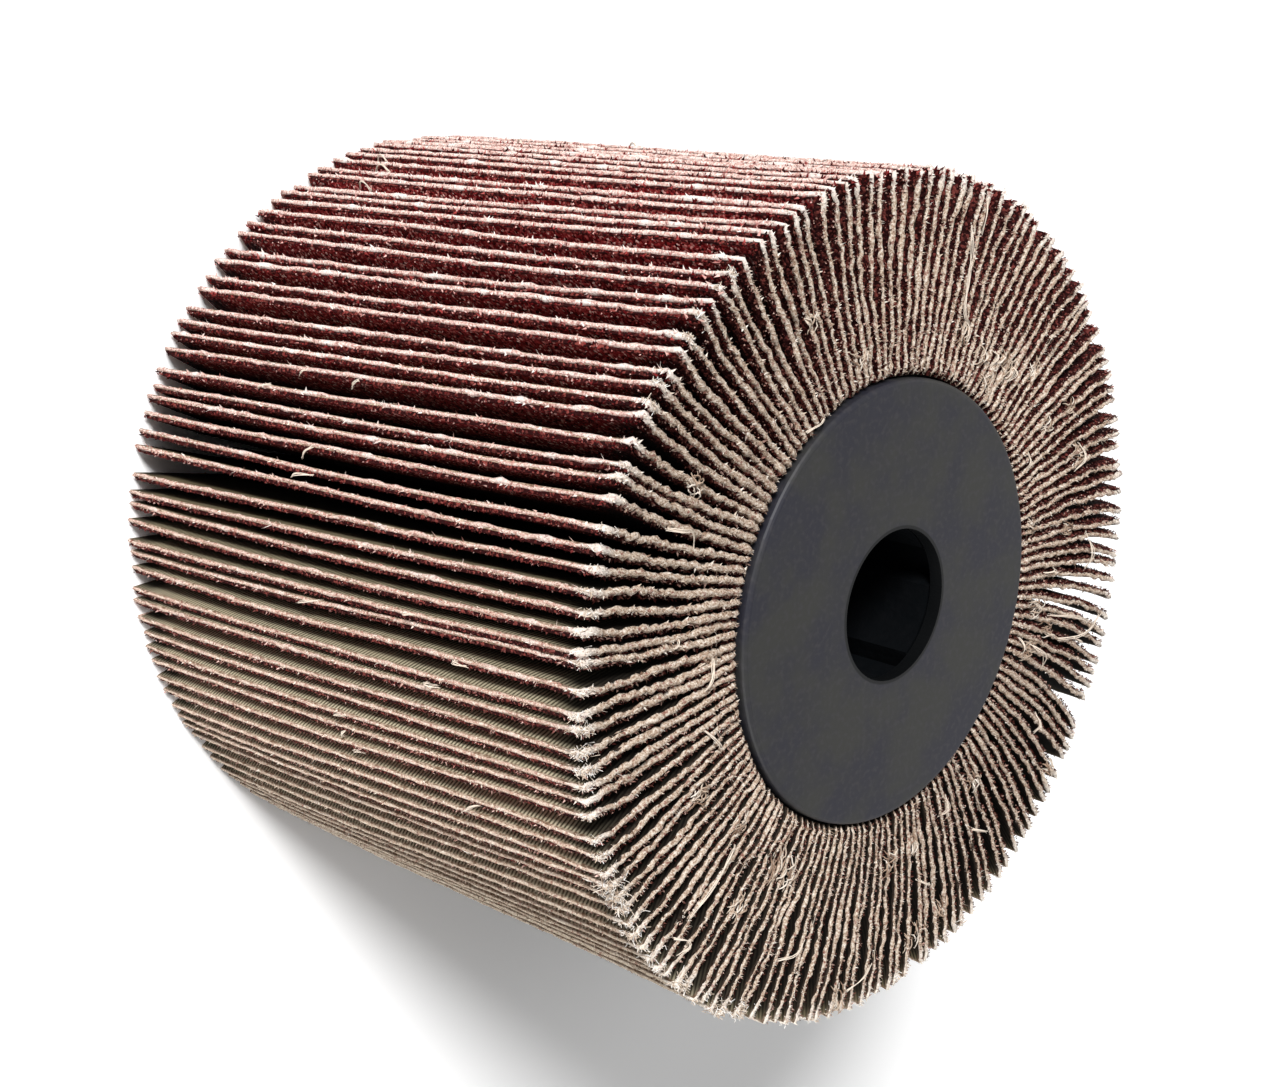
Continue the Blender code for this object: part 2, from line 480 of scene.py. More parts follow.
def seed_points(columns):
    """A mesh with a point for each row of the columns, which become its attributes."""
    mesh = bpy.data.meshes.new("seeds")
    rows = len(next(iter(columns.values())))
    mesh.from_pydata([(0.0, 0.0, 0.0)] * rows, [], [])
    for column, values in columns.items():
        mesh.attributes.new(column, "FLOAT", "POINT").data.foreach_set("value", values)
    return mesh


def make_flaps(material):
    """The flaps themselves: thin slabs with a cloth side and a grain side."""
    sizes = {"Across": 3, "Along": 10, "Down": 12}
    graph, inputs = geometry_tree("abrasive_flaps", sizes)
    box = {"Size": (1.0, 1.0, 1.0), "Vertices X": inputs["Across"],
           "Vertices Y": inputs["Along"], "Vertices Z": inputs["Down"]}
    slab = graph.node("GeometryNodeMeshCube", {}, box)
    corner = graph.node("GeometryNodeInputPosition").vector("ADD", (0.5, 0.5, 0.5))
    x, y, z = corner.axes()
    # Stations crowd towards the core and the front edge, where the flaps are crumpled
    place = graph.join(x, y ** 1.5, (1.0 - z) ** 1.7)
    slab = store(slab, "place", place, VECTOR)
    flaps = repeated(inputs["Geometry"], slab)
    x, out, back = read(graph, "place", VECTOR).axes()
    # The grain is worn back from the cloth at every cut edge
    grain = x.ramp(0.55, 1.0)
    inset = (EDGE_RADIUS + grain * (0.08 * MM)) / FLAP_LENGTH
    drop = (EDGE_RADIUS + grain * (0.8 * MM)) / FLAP_WIDTH
    out = out * (1.0 - inset)
    back = drop + back * (1.0 - 2.0 * drop)
    where, _ = lay(out, back, (x - 0.5) * FLAP_THICKNESS)
    flat = graph.node("GeometryNodeSetShadeSmooth", {}, {0: moved(flaps, where), 2: False})
    grow("abrasive_flaps", flap_columns(), sizes, flat, material, "flap_pack")


def edge_place(travel, inset):
    """Out and back of a point that travels along a flap's cut edges, in metres: from the
    core up the front edge, along the rim and back down the rear edge."""
    rise = (travel / FLAP_LENGTH).between_0_and_1()
    fall = ((travel - RIM_END) / FLAP_LENGTH).between_0_and_1()
    back = ((travel - RIM_START) / FLAP_WIDTH).between_0_and_1()
    out = (rise - fall) * (1.0 - inset / FLAP_LENGTH)
    return out, back * (1.0 - 2.0 * inset / FLAP_WIDTH) + inset / FLAP_WIDTH


def tube_along(lines, sides, radius, swell):
    """Turn lines of points into tubes of a few sides, whose thickness follows swell."""
    graph = lines.graph
    curve = graph.node("GeometryNodeMeshToCurve", {}, {0: lines})
    circle = {"Resolution": sides, "Radius": radius}
    profile = graph.node("GeometryNodeCurvePrimitiveCircle", {}, circle)
    inputs = {0: curve, 1: profile, "Scale": swell, "Fill Caps": True}
    tube = graph.node("GeometryNodeCurveToMesh", {}, inputs)
    return graph.node("GeometryNodeSetShadeSmooth", {}, {0: tube, 2: True})


def lint(graph):
    """How much lint a place of the cut edges has caught: mostly on the upper rims."""
    travel = read(graph, "travel")
    spots = own_noise(graph, travel / (3.0 * MM), 23.0).ramp(0.58, 0.68)
    upper = (read(graph, "turn") - LINT_SIDE).cos().ramp(-0.2, 0.9) * 0.8 + 0.2
    return spots * upper * travel.ramp(RIM_START, RIM_START + 2.0 * MM)


def fullness(graph):
    """How much thicker the fray is than usual: more on the front's left, less below, and
    more on the rims that face the light."""
    turn = read(graph, "turn")
    at_rim = read(graph, "travel").ramp(RIM_START, RIM_START + 1.0 * MM)
    narrow = ((turn - NARROW_SIDE).cos() * 0.5 + 0.5) ** 4.0
    woolly = (turn - WOOLLY_SIDE).cos().ramp(0.72, 1.0)
    sunny = (turn - SUNNY_SIDE).cos().ramp(0.75, 0.98)
    clipped = (turn - CLIPPED_SIDE).cos().ramp(0.93, 1.0)
    at_front = (woolly * 0.6 - narrow * 0.4) * (1.0 - at_rim)
    return at_front + (sunny * 0.65 - clipped * 0.3) * at_rim


def make_cut_edges(material):
    """The frayed border of cloth along the front, rim and rear edges of each flap."""
    sizes = {"Front Steps": 48, "Rim Steps": 58, "Rear Steps": 9, "Sides": 4,
             "Radius": EDGE_RADIUS}
    graph, inputs = geometry_tree("cut_edges", sizes)
    front, rim, rear = inputs["Front Steps"], inputs["Rim Steps"], inputs["Rear Steps"]
    line = graph.node("GeometryNodeMeshLine", {}, {"Count": front + rim + rear + 1.0})
    # Short steps along the crinkled front edge, longer ones along the rim and the rear
    step = graph.node("GeometryNodeInputIndex")
    travel = step.most(front) * (FLAP_LENGTH / front)
    travel = travel + (step - front).least(0.0).most(rim) * (FLAP_WIDTH / rim)
    travel = travel + (step - front - rim).least(0.0) * (FLAP_LENGTH / rear)
    line = store(line, "travel", travel)
    lines = repeated(inputs["Geometry"], line)
    travel = read(graph, "travel")
    out, back = edge_place(travel, EDGE_RADIUS)
    jog = own_noise(graph, travel / (0.9 * MM), 0.0) - 0.5
    where, _ = lay(out, back, jog * EDGE_JOG + CLOTH_MIDDLE)
    laid = moved(lines, where)
    own = read(graph, "turn") * OWN_NOISE
    swell = graph.noise(graph.join(own + 5.0, travel / (1.1 * MM), 3.0), 1.0) * 2.3 - 0.3
    # In patches the edges of neighbours are crushed flat and matted together
    matted = graph.noise(where.vector("SCALE", 1.0 / (7.0 * MM)), 1.0).ramp(0.48, 0.66)
    in_front = 1.0 - back.ramp(0.0, 0.01)
    caught = lint(graph)
    swell = swell + in_front * (matted * 0.8 + 0.34) + caught * 0.6 + fullness(graph) * 0.9
    swell = swell.least(0.35)
    laid = store(laid, "lint", caught)
    # Beside the plate each border ends ragged, some sooner than others
    ragged = own_noise(graph, 0.0, 91.0) * (1.4 * MM)
    swell = swell * (travel - ragged + 0.5 * MM).ramp(0.0, 0.5 * MM)
    tube = tube_along(laid, inputs["Sides"], inputs["Radius"], swell + 0.05)
    grow("cut_edges", flap_columns(), sizes, tube, material)


def sown_along_edge(graph, inputs, start, end):
    """Points sown along a stretch of every flap's cut edge, over the flap's thickness."""
    seed = inputs["Seed"]
    copies = several(inputs, "Amount")
    sown = store(copies, "travel", chance(start, end, seed))
    sown = store(sown, "depth", chance(0.0, inputs["Deepest"], seed + 1))
    sown = store(sown, "tone", chance(0.0, 1.0, seed + 2))
    sown = store(sown, "lint", lint(graph))
    travel = read(graph, "travel")
    depth = read(graph, "depth")
    # On the grain side the edge is worn back, so what grows there starts lower
    out, back = edge_place(travel, EDGE_RADIUS * 1.1 + depth.ramp(0.5, 1.0) * (0.12 * MM))
    where, angle = lay(out, back, (depth - 0.5) * FLAP_THICKNESS)
    placed = moved(sown, where)
    # Everything points out of the edge that it grows from, and then any way
    at_rim = out.ramp(0.97, 0.99)
    upward = (1.0 - back.ramp(0.005, 0.02)) - back.ramp(0.98, 0.995)
    heading = graph.join(angle.cos() * at_rim, angle.sin() * at_rim, upward)
    heading = heading.vector("ADD", any_way(seed + 3))
    return store(placed, "heading", heading, VECTOR)


def planted(sown, shape, scale):
    """A copy of a shape on every sown point, turned to its heading."""
    graph = sown.graph
    heading = read(graph, "heading", VECTOR)
    settings = {"axis": "Z"}
    rotation = graph.node("FunctionNodeAlignRotationToVector", settings, {"Vector": heading})
    copies = repeated(sown, shape, Rotation=rotation, Scale=scale)
    return moved(copies, above_floor(*graph.node("GeometryNodeInputPosition").axes()))


def make_crumbs(name, start, end, per_flap, deepest, seed, material):
    """Crumbs that stand on a stretch of every flap's cut edge, from the cloth side to the
    deepest share of its thickness."""
    sizes = {"Amount": per_flap, "Length": 0.41 * MM, "Thickness": 0.125 * MM,
             "Deepest": deepest, "Seed": seed}
    graph, inputs = geometry_tree(name, sizes)
    sown = sown_along_edge(graph, inputs, start, end)
    to_corner = (read(graph, "travel") - RIM_START).math("ABSOLUTE")
    size = chance(0.4, 1.3, inputs["Seed"] + 4)
    size = size * (1.3 - to_corner.ramp(0.0, 3.0 * MM) * 0.3 + read(graph, "lint") * 0.35)
    size = size * (1.0 + fullness(graph) * 0.45)
    crumbs = planted(sown, spike(inputs), size)
    grow(name, flap_columns(), sizes, crumbs, material)


def make_crystals(name, start, end, per_flap, reach, seed, material):
    """Coarse grain that stands on the coated side of each flap, densest at the cut edge."""
    sizes = {"Amount": per_flap, "Length": 0.24 * MM, "Thickness": 0.13 * MM, "Reach": reach,
             "Seed": seed}
    graph, inputs = geometry_tree(name, sizes)
    seed = inputs["Seed"]
    copies = several(inputs, "Amount")
    sown = store(copies, "travel", chance(start, end, seed))
    sown = store(sown, "depth", graph.number(1.0))
    below = chance(0.0, 1.0, seed + 1) ** 1.6 * inputs["Reach"] + EDGE_RADIUS
    out, back = edge_place(read(graph, "travel"), below)
    where, angle = lay(out, back, FLAP_THICKNESS / 2)
    sown = store(sown, "tone", chance(0.0, 1.0, seed + 2))
    placed = moved(sown, where)
    facing = graph.join(-angle.sin(), angle.cos(), 0.0)
    heading = facing.vector("ADD", any_way(seed + 3))
    placed = store(placed, "heading", heading, VECTOR)
    size = chance(0.5, 1.2, seed + 4)
    crystals = planted(placed, spike(inputs), size)
    grow(name, flap_columns(), sizes, crystals, material)


def make_fibres(name, start, end, per_flap, seed, material):
    """Fine fibres that stand further out, along a stretch of every cut edge."""
    sizes = {"Amount": per_flap, "Length": 0.75 * MM, "Thickness": 0.045 * MM,
             "Deepest": 0.7, "Seed": seed}
    graph, inputs = geometry_tree(name, sizes)
    sown = sown_along_edge(graph, inputs, start, end)
    clump = own_noise(graph, read(graph, "travel") / (6.0 * MM), 7.0, 1.0)
    length = chance(0.4, 1.2, inputs["Seed"] + 4) * (clump.ramp(0.45, 0.78) + 0.5)
    fibres = planted(sown, spike(inputs), graph.join(1.0, 1.0, length))
    grow(name, flap_columns(), sizes, fibres, material)


def worn_spots():
    """Where small tufts hang, as (flap, travel, size): at many front corners and here and
    there along the rims."""
    rng = random.Random(TUFT_SEED)
    spots = []
    for index in range(FLAP_COUNT):
        # One side of the wheel is more worn, and woollier, than the other
        worn = 0.5 + 0.5 * cos(tau * index / FLAP_COUNT - WORN_AND_LIT_SIDE)
        for _ in range(1 + (rng.random() < worn ** 2 * 0.6)):
            if rng.random() < 0.42 + 0.3 * worn:
                travel = RIM_START + rng.uniform(-1.3, 1.5) * MM
                spots.append((index, travel, rng.uniform(0.4, 0.8 + 0.5 * worn)))
        if rng.random() < 0.06:
            spots.append((index, RIM_END + rng.uniform(-2.0, 0.5) * MM, 0.5))
    for _ in range(RIM_TUFTS):
        travel = rng.uniform(RIM_START, RIM_END)
        spots.append((rng.randrange(FLAP_COUNT), travel, rng.uniform(0.4, 1.2)))
    return spots


def corner_spots():
    """Where larger tufts hang on the front corners, a few to a place."""
    rng = random.Random(TUFT_SEED)
    spots = []
    for degrees_round, size in CORNER_LINT:
        for beside in (0, 0, 0, 1, 1):
            index = round(degrees_round * FLAP_COUNT / 360) + beside
            travel = RIM_START + rng.uniform(-0.6, 0.7) * size * MM
            spots.append((index % FLAP_COUNT, travel, size))
    return spots


def tuft_columns(spots):
    """The place of each tuft: that of the flap that it hangs on, and its own."""
    flaps, travels, sizes = zip(*spots)
    columns = {column: [values[index] for index in flaps]
               for column, values in flap_columns().items()}
    return {**columns, "travel": travels, "size": sizes}


def make_tufts(name, spots, material):
    """Woolly tufts of cotton pulled out of the cloth: curled fibres from one spot."""
    sizes = {"Fibres": 40, "Joints": 4, "Thickness": 0.07 * MM, "Seed": 41}
    graph, inputs = geometry_tree(name, sizes)
    seed = inputs["Seed"]
    copies = several(inputs, "Fibres")
    offset = chance(-1.0 * MM, 1.0 * MM, seed) * read(graph, "size")
    copies = store(copies, "travel", read(graph, "travel") + offset)
    copies = store(copies, "aim", any_way(seed + 1), VECTOR)
    copies = store(copies, "reach", chance(0.2, 0.9, seed + 2))
    copies = store(copies, "tone", chance(0.0, 1.0, seed + 3))
    lines = strands(inputs, copies)
    out, back = edge_place(read(graph, "travel"), EDGE_RADIUS * 1.3)
    root, angle = lay(out, back, CLOTH_MIDDLE)
    at_rim = out.ramp(0.9, 0.99)
    upward = (1.0 - back.ramp(0.005, 0.03)) - back.ramp(0.97, 0.995)
    outward = graph.join(angle.cos() * at_rim, angle.sin() * at_rim, upward)
    aim = read(graph, "aim", VECTOR)
    step = read(graph, "step")
    length = step * read(graph, "reach") * read(graph, "size") * MM
    # Each fibre curls its own way
    curl_place = aim.vector("SCALE", 7.0).vector("ADD", graph.join(step * 3.0, 0.0, 0.0))
    curl = graph.noise(curl_place, 1.0, 1.0, 0.5, 1).vector("SUBTRACT", (0.5, 0.5, 0.5))
    path = outward.vector("SCALE", 0.25).vector("ADD", aim.vector("SCALE", 0.4))
    path = path.vector("ADD", curl.vector("SCALE", 3.2)).vector("SCALE", length * 1.1)
    # On the rims they are pressed flat along the edge
    pressed = 1.0 - upward * upward
    spread = graph.join(1.0 - pressed * 0.5, 1.0 - pressed * 0.5, 1.0 + pressed * 0.9)
    path = path.vector("MULTIPLY", spread)
    laid = moved(lines, above_floor(*root.vector("ADD", path).axes()))
    tube = tube_along(laid, 3, inputs["Thickness"], 1.1 - step * 0.5)
    grow(name, tuft_columns(spots), sizes, tube, material)


# Where lint hangs on the front corners: degrees round the wheel and size in mm
CORNER_LINT = [
    (123, 0.9), (129, 1), (139, 0.9), (150, 0.8), (160.5, 0.8), (166, 0.9),
    (169.5, 1), (172, 0.9), (177, 1.1), (180, 1.2), (182, 1.4), (185, 1.2),
    (192, 0.8), (196, 0.9), (202, 1.7), (204, 1.6), (210, 1.3), (217, 1.2),
    (224, 1.2), (234, 1.5),
]

# Where yarn has matted on the front: degrees round the wheel, radius in mm, size in mm
MATTED_SPOTS = [
    (1, 39.2, 1), (6.5, 30.4, 1.1), (15, 42.4, 1.3), (24.5, 42.4, 1),
    (26.5, 36.8, 1), (39.5, 38, 1.1), (48, 34.8, 1.5), (52, 31.2, 1.3),
    (58, 33.2, 1.2), (67, 34.4, 1.3), (102, 31.6, 1.3), (112.5, 40, 1),
    (147.5, 40.8, 1.1), (176, 33, 1.1), (201.5, 37.2, 1.1), (214.5, 34, 1.1),
    (226, 41.2, 1.2), (231, 34.4, 1.6), (236, 34.8, 1.4), (258.5, 51, 1.4),
    (271, 34.8, 1.2), (276.5, 48, 1.3), (279.5, 34.4, 1.2), (285, 47.6, 1.3),
    (302, 34.8, 1.2), (317.5, 50, 1.3), (335, 33.8, 1.5), (340, 37.2, 1.5),
    (345, 34, 1.4),
]


def make_matted_yarn(material):
    """Yarn that has come loose on the front and lies tangled over the edges."""
    sizes = {"Strands": 14, "Joints": 8, "Thickness": 0.11 * MM, "Seed": 71}
    graph, inputs = geometry_tree("matted_yarn", sizes)
    seed = inputs["Seed"]
    copies = several(inputs, "Strands")
    start = any_way(seed, (-1.0, -1.0, 0.0))
    copies = store(copies, "start", start, VECTOR)
    copies = store(copies, "lean", chance(-0.8, 0.8, seed + 1))
    copies = store(copies, "tone", chance(0.1, 0.9, seed + 2))
    lines = strands(inputs, copies)
    angle, radius = read(graph, "angle"), read(graph, "radius")
    lean, step = read(graph, "lean"), read(graph, "step")
    size = read(graph, "size") * MM
    start = read(graph, "start", VECTOR)
    _, _, lift = start.axes()
    bend = graph.noise(graph.join(lean * 40.0, step * 4.0, lift * 9.0), 1.0, 1.0, 0.5, 1)
    bend = bend.vector("SUBTRACT", (0.5, 0.5, 0.5)).vector("SCALE", 1.0 * MM)
    heading = angle + lean
    length = (step - 0.5) * size * 1.6
    run = graph.join(heading.cos() * length, heading.sin() * length, 0.0)
    middle = graph.join(radius * angle.cos(), radius * angle.sin(), 0.0)
    place = middle.vector("ADD", start.vector("SCALE", size * 0.9)).vector("ADD", run)
    x, y, _ = place.vector("ADD", bend).axes()
    arch = step * (1.0 - step) * 4.0
    height = arch * (lift * 0.6 + 0.1) * MM + (FLAP_TOP - 0.45 * MM)
    laid = moved(lines, graph.join(x, y, height))
    tube = tube_along(laid, 3, inputs["Thickness"], arch * 0.6 + 0.4)
    angles, radii, spans = zip(*MATTED_SPOTS)
    columns = {"angle": [radians(angle) for angle in angles],
               "radius": [radius * MM for radius in radii], "size": spans}
    grow("matted_yarn", columns, sizes, tube, material)


# Stray threads: points as (radius in mm, degrees round the wheel, height in mm)
FRONT_THREADS = [
    [(46, 218, 88), (41.6, 217.2, 88.8), (37.2, 216, 88.9), (36, 217.5, 88)],
    [(47, 71.5, 88), (44, 71.3, 88.8), (40.8, 70.5, 88.9), (36.4, 69, 88.8),
     (35.6, 65, 88)],
    [(41.6, 12, 88), (43, 14, 89), (43.2, 16.5, 88)],
    [(30.8, 21, 88), (31.2, 23, 88.9), (31.8, 25.5, 88)],
    [(28.6, 117, 88.2), (28.9, 120, 88.8), (29.4, 123.5, 88.2)],
    [(45.2, 352, 88), (44.8, 355, 89.1), (44, 359, 88)],
    [(38.8, 332, 88), (37, 334.5, 89.1), (35, 335.5, 89), (33.2, 336.5, 88)],
    [(32.4, 332.5, 88), (31.6, 335, 89), (30.8, 337.5, 88)],
    [(41.2, 297, 88), (42.8, 298.6, 88.9), (44.4, 300, 88)],
    [(32.2, 175.6, 88), (32.8, 177.8, 88.9), (33.3, 180.6, 89), (33.7, 183, 88)],
    [(34.6, 189.4, 88), (33.1, 193.7, 89), (32.4, 197.2, 88)],
    [(38.1, 171.1, 88), (38.6, 172.1, 88.9), (39, 173.2, 88)],
    [(45.2, 241.9, 88), (43.9, 244.6, 88.9), (42.2, 247.4, 88)],
    [(50.4, 260.5, 88), (48.9, 263.3, 88.9), (48.1, 266.4, 88)],
    [(43.2, 154.8, 88), (41.4, 154.4, 89.1), (39.6, 154.1, 88.9), (37.9, 157, 88)],
    [(49.1, 217, 88), (48.3, 219.4, 88.9), (50, 219.7, 88.1)],
    [(36.9, 343.3, 88), (42, 343.4, 89), (47, 342.8, 88.9), (51, 342, 88)],
    [(41, 338.6, 88), (46, 340.5, 89), (51, 344, 88.1)],
    [(46.3, 68.1, 88), (48.4, 69.8, 89), (50.4, 68.9, 88)],
]
RIM_THREADS = [
    [(52, 157.9, 36.2), (53, 157, 37.7), (53.2, 156, 39.2)],
    [(52, 160.8, 34.9), (53.1, 160.1, 37.2), (52.2, 159.6, 39.7)],
    [(52, 147.2, 30.5), (52.8, 146.9, 31.5), (53, 146.5, 32.6)],
    [(52, 150.3, 23.5), (53, 149.9, 25), (52.6, 149.4, 26.3)],
    [(52, 177.1, 38.3), (53.1, 176, 41), (52, 175.5, 43.6)],
    [(52, 147.3, 41.2), (52.9, 146.9, 42.2), (53.1, 146.4, 43.4)],
    [(52, 173.7, 59.8), (53.5, 173, 60.8), (52, 173.2, 61.9)],
    [(52, 198.7, 66.3), (53.6, 197.6, 67.2), (53.2, 196.8, 68.3), (52, 197.3, 69)],
    [(52.3, 191.9, 43.6), (53.2, 191, 44.6), (53.3, 190.7, 45.6), (52.3, 191.7, 46.4)],
    [(52.4, 194.9, 44.2), (53.1, 194, 44.8), (52.6, 193.6, 45.2)],
    [(52.2, 197.1, 45.2), (52.9, 196.4, 45.9), (52.9, 196.2, 46.8), (52.3, 196.8, 47.4)],
    [(52, 177.4, 68.6), (53.4, 177, 69.4), (52, 177.6, 70.1)],
    [(52, 181.4, 63.4), (53.4, 181, 64.3), (52, 181.6, 65)],
]


def other_threads():
    """Threads like those in sight, scattered over the far side of the wheel."""
    rng = random.Random(THREAD_SEED)
    threads = []
    for _ in range(FAR_RIM_THREADS):
        angle = rng.uniform(235, 500)
        height = rng.uniform(8, 80)
        reach = rng.uniform(-1.5, 1.5)
        threads.append([(52, angle, height), (53.3, angle + reach / 2, height + 1.2),
                        (52, angle + reach, height + 2.6)])
    for _ in range(FAR_FRONT_THREADS):
        angle = rng.uniform(260, 420)
        radius = rng.uniform(32, 46)
        reach = rng.uniform(-4, 4)
        threads.append([(radius, angle, 88), (radius + 1.2, angle + reach / 2, 88.9),
                        (radius + 2, angle + reach, 88)])
    return threads


def make_threads(material):
    """Yarns that hang loose across the flaps: a few strands each, curled a little."""
    data = bpy.data.curves.new("stray_threads", "CURVE")
    data.dimensions = "3D"
    data.bevel_depth = THREAD_RADIUS
    data.bevel_resolution = 0
    data.resolution_u = 4
    data.use_fill_caps = True
    rng = random.Random(THREAD_SEED)
    for thread in FRONT_THREADS + RIM_THREADS + other_threads():
        for _ in range(THREAD_STRANDS):
            spline = data.splines.new("BEZIER")
            spline.bezier_points.add(len(thread) - 1)
            for point, (radius, angle, height) in zip(spline.bezier_points, thread):
                radius += rng.uniform(-0.14, 0.14)
                angle = radians(angle) + rng.uniform(-0.2, 0.2) / radius
                height = (height + rng.uniform(-0.2, 0.2)) * MM
                point.co = (radius * MM * cos(angle), radius * MM * sin(angle), height)
                point.handle_left_type = "AUTO"
                point.handle_right_type = "AUTO"
                point.radius = rng.uniform(0.6, 1.2)
    curve = bpy.data.objects.new("thread_curves", data)
    mesh = bpy.data.meshes.new_from_object(curve)
    mesh.materials.clear()
    mesh.materials.append(material)
    mesh.shade_smooth()
    tone = mesh.attributes.new("tone", "FLOAT", "POINT").data
    tone.foreach_set("value", [0.5] * len(mesh.vertices))
    bpy.data.objects.remove(curve)
    settle(add_object("stray_threads", mesh), "abrasive_cloth")


# Materials

def principled(name, roughness, specular):
    """A new material, its graph and its Principled shader."""
    mat = bpy.data.materials.new(name)
    mat.use_nodes = True
    shader = mat.node_tree.nodes["Principled BSDF"]
    shader.inputs["Roughness"].default_value = roughness
    shader.inputs["Specular IOR Level"].default_value = specular
    return mat, Graph(mat.node_tree), shader


def feed(shader, name, value):
    value.graph.tree.links.new(value.socket, shader.inputs[name])


def bump(height, distance, strength):
    inputs = {"Height": height, "Distance": distance, "Strength": strength}
    return height.graph.node("ShaderNodeBump", {}, inputs)


def object_place(graph):
    return graph.node("ShaderNodeTexCoord", {}, {}, "Object")


def cell_noise(where, scale, output="Color"):
    inputs = {"Vector": where, "Scale": scale}
    return where.graph.node("ShaderNodeTexVoronoi", {}, inputs, output)


def attribute(graph, name):
    return graph.node("ShaderNodeAttribute", {"attribute_name": name}, {}, "Fac")


def shaded_side(graph):
    """How near a flap is to the side where the grain turns away from the light, where shade is
    painted.
    """
    return (attribute(graph, "turn") - SHADED_SIDE).cos().ramp(0.88, 0.99)


def tones(*stops):
    """The stops of a colour ramp, from place, red, green and blue."""
    return [(place, rgba(*color)) for place, *color in stops]


GRAIN_TONES = tones((0, 30, 2, 3), (0.4, 120, 18, 22), (0.75, 166, 56, 56),
                    (0.9, 204, 118, 112), (1, 250, 208, 198))
COTTON_TONES = tones((0, 86, 62, 50), (0.25, 166, 139, 119), (0.6, 208, 190, 171),
                     (1, 243, 235, 225))
PINK_TONES = tones((0, 140, 74, 68), (0.25, 204, 156, 145), (0.6, 236, 209, 198),
                   (1, 255, 248, 242))
RUST_TONES = tones((0, 26, 2, 3), (0.5, 98, 14, 20), (0.8, 160, 66, 64),
                   (1, 250, 206, 196))
BROWN_TONES = tones((0, 22, 5, 4), (0.5, 66, 28, 24), (0.8, 118, 76, 66),
                    (1, 208, 174, 160))
TUFT_TONES = tones((0, 200, 176, 154), (0.5, 232, 218, 202), (1, 255, 254, 252))


def abrasive_cloth_material():
    """Twill cloth on one side, red-brown grain on the other, pale where it was cut."""
    mat, graph, shader = principled("abrasive_cloth", 0.9, 0.08)
    where = object_place(graph)
    place = graph.node("ShaderNodeAttribute", {"attribute_name": "place"}, {}, "Vector")
    x, out, back = place.axes()
    along = out * (FLAP_LENGTH / MM)
    depth = back * (FLAP_WIDTH / MM)
    below_rim = FLAP_LENGTH / MM - along
    fine = graph.noise(where, 1.0 / (0.5 * MM), 3.0)

    # Grain: separate crystals, dark red with a few light ones, darker towards the root with
    # painted shade deep between the flaps
    cells = cell_noise(where, 1.0 / CRYSTAL).axes()
    grain = graph.tint(cells[0], GRAIN_TONES)
    grain = graph.mix(below_rim.ramp(2.0, 6.0) * 0.92, grain, rgba(14, 2, 3))
    # Painted shade: grain darker on the side of the wheel where it turns away from the light
    grain = graph.mix(shaded_side(graph) * 0.55, grain, rgba(16, 3, 4))
    crystal_height = cell_noise(where, 1.0 / CRYSTAL, "Distance")

    # Cloth: a diagonal twill with stains, darker towards the root with painted shade between the
    # flaps
    diagonal = (along * 0.36 + depth * 0.93) * (tau / TWILL_PITCH)
    rib = (diagonal + fine * 1.2).sin() * 0.5 + 0.5
    stain = graph.noise(where, 1.0 / (6.0 * MM))
    cloth = graph.mix(rib, rgba(66, 60, 45), rgba(200, 190, 162))
    # Painted shade: the cloth is darker all round except on the worn side, which is left lighter
    # as if lit there
    painted_shade_off_lit_side = 1.0 - (attribute(graph, "turn") - WORN_AND_LIT_SIDE).cos().ramp(0.7, 0.98)
    cloth = graph.mix(painted_shade_off_lit_side, cloth, rgba(160, 154, 142), "MULTIPLY")
    cloth = graph.mix(stain.ramp(0.45, 0.75) * 0.3, cloth, rgba(160, 147, 120))
    # Painted shade: the cloth turns dark deeper below the rim, between the flaps
    cloth = graph.mix(below_rim.ramp(1.5, 5.0) * 0.75, cloth, rgba(22, 18, 13))

    side = (x + (fine - 0.5) * 0.15).ramp(0.5, 0.56)
    surface = graph.mix(side, cloth, grain)

    # Cut edges are paler: cream cloth beside darker grain
    to_edge = below_rim.most(depth).most(FLAP_WIDTH / MM - depth)
    cut = 1.0 - (to_edge + (fine - 0.5) * 0.8).ramp(0.05, 0.45)
    cream = graph.mix(fine.ramp(0.35, 0.7), rgba(120, 96, 76), rgba(205, 184, 164))
    rust = graph.mix(cells[1].ramp(0.6, 0.95), rgba(40, 8, 9), rgba(130, 64, 58))
    cut_color = graph.mix(side, cream, rust)
    color = graph.mix(cut, surface, cut_color)
    # Little light comes in between the flaps along their front and rear edges
    to_side = depth.most(FLAP_WIDTH / MM - depth)
    shaded = 1.0 - to_side.ramp(2.0, 6.5)
    shaded = shaded * (1.0 - side * (1.0 - to_side.ramp(0.0, 0.7)) * 0.6)
    shaded = shaded * (1.0 - out.ramp(0.93, 1.0) * 0.6) * 0.9
    feed(shader, "Base Color", graph.mix(shaded, color, rgba(10, 6, 6)))

    height = graph.mix(side, rib * 0.3, 1.0 - crystal_height)
    feed(shader, "Normal", bump(height, 0.16 * MM, 1.0))
    return mat


